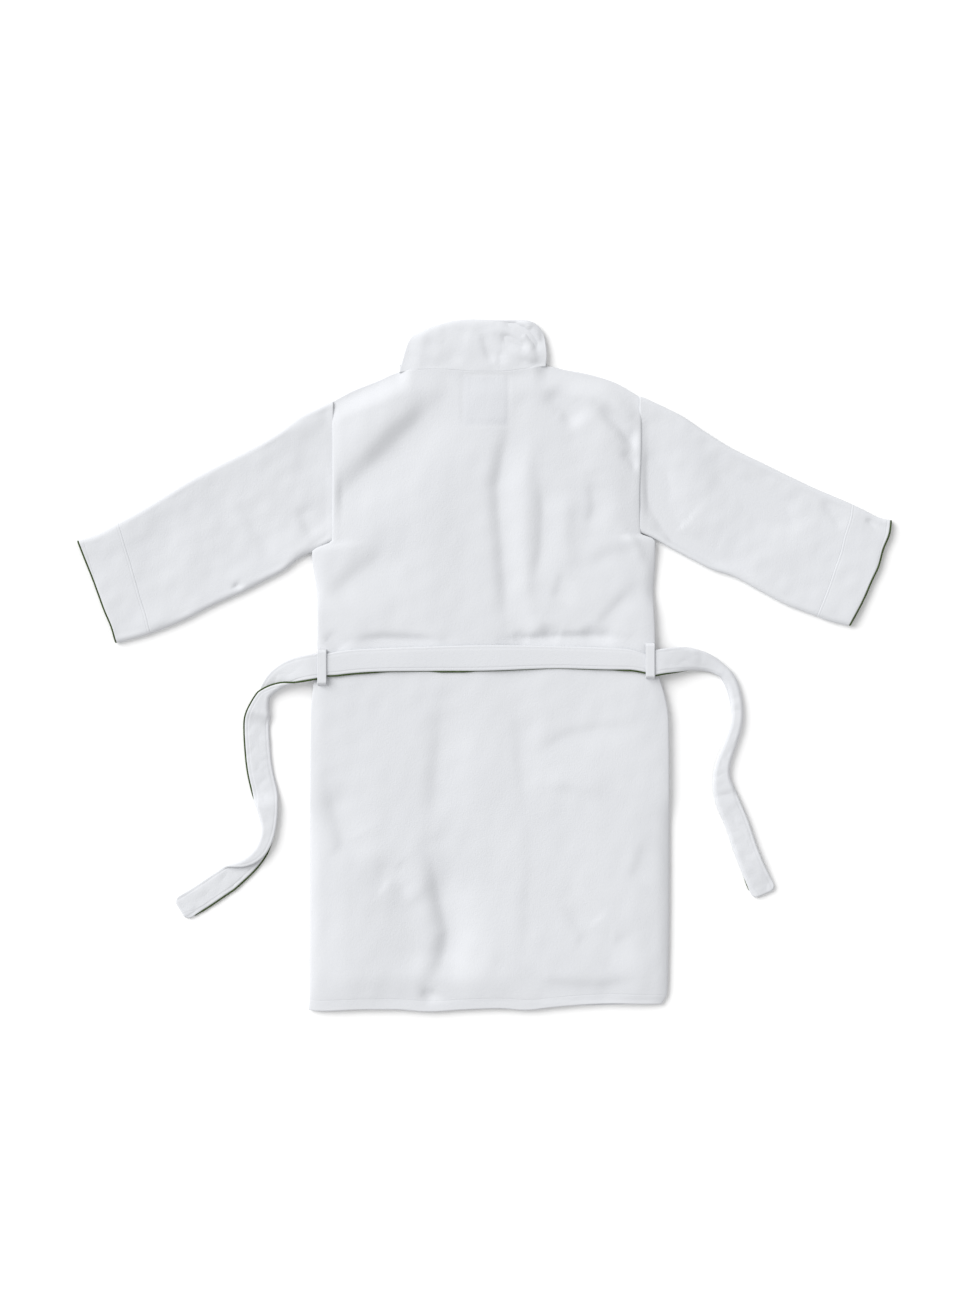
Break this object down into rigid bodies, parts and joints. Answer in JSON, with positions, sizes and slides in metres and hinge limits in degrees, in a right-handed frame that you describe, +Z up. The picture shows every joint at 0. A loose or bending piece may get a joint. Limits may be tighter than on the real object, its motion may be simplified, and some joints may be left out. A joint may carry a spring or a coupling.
{
  "type": "bathrobe",
  "caption": "Shawl-collared terry bathrobe laid flat with its back up, arms spread, belt threaded through side loops, dark piping on cuffs and belt.",
  "frame": {"origin": "centre of the robe's plan outline, on the surface that it lies on", "axes": "+X to the robe's right-hand side as it lies back up, +Y from the hem to the collar, +Z up from the surface"},
  "size_m": [1.5154, 1.294, 0.0298],
  "materials": {
    "velour": "white cotton velour with a short dense pile",
    "piping": "dark olive green twill piping",
    "tape": "plain white woven tape"
  },
  "bodies": {
    "robe": {"back_panel": "velour", "neck_patch": "tape", "hanger_loop": "velour", "care_label": "tape", "front_left": "velour", "front_right": "velour", "pocket_left": "velour", "pocket_right": "velour", "belt_loop_left": "velour", "belt_loop_right": "velour"},
    "collar": {"collar_outer": "velour", "collar_facing": "velour"},
    "flap_left": {"front_flap_left": "velour", "lapel_left": "velour"},
    "flap_right": {"front_flap_right": "velour", "lapel_right": "velour"},
    "sleeve_left": {"sleeve_left": "velour", "cuff_left": "velour", "cuff_piping_left": "piping"},
    "sleeve_right": {"sleeve_right": "velour", "cuff_right": "velour", "cuff_piping_right": "piping"},
    "belt": {"belt_back": "velour", "belt_piping_back": "piping"},
    "tail_left": {"belt_tail_left": "velour", "belt_tail_piping_left": "piping"},
    "tail_right": {"belt_tail_right": "velour", "belt_tail_piping_right": "piping"}
  },
  "joints": [
    {"name": "collar_fold", "type": "hinge", "parent": "robe", "child": "collar", "pos_m": [0, 0.55315, 0.0182], "axis": [1, 0, 0], "range_deg": [0, 184]},
    {"name": "sleeve_left_fold", "type": "hinge", "parent": "robe", "child": "sleeve_left", "pos_m": [-0.28415, 0.365, 0.017], "axis": [0, 1, 0], "range_deg": [0, 180]},
    {"name": "sleeve_right_fold", "type": "hinge", "parent": "robe", "child": "sleeve_right", "pos_m": [0.29215, 0.375, 0.0238], "axis": [0, -1, 0], "range_deg": [0, 180]},
    {"name": "front_left_open", "type": "hinge", "parent": "robe", "child": "flap_left", "pos_m": [-0.168, 0, -0.0003], "axis": [0, 1, 0], "range_deg": [0, 180]},
    {"name": "front_right_open", "type": "hinge", "parent": "robe", "child": "flap_right", "pos_m": [0.128, 0, -0.0003], "axis": [0, -1, 0], "range_deg": [0, 180]},
    {"name": "belt_slide", "type": "slide", "parent": "robe", "child": "belt", "axis": [1, 0, 0], "range_m": [-0.015, 0.015]},
    {"name": "tail_left_swing", "type": "hinge", "parent": "belt", "child": "tail_left", "pos_m": [-0.34, -0.00002, 0.003], "axis": [0, 0, -1], "range_deg": [-8, 45]},
    {"name": "tail_right_swing", "type": "hinge", "parent": "belt", "child": "tail_right", "pos_m": [0.34, 0.00776, 0.003], "axis": [0, 0, 1], "range_deg": [-8, 45]}
  ]
}
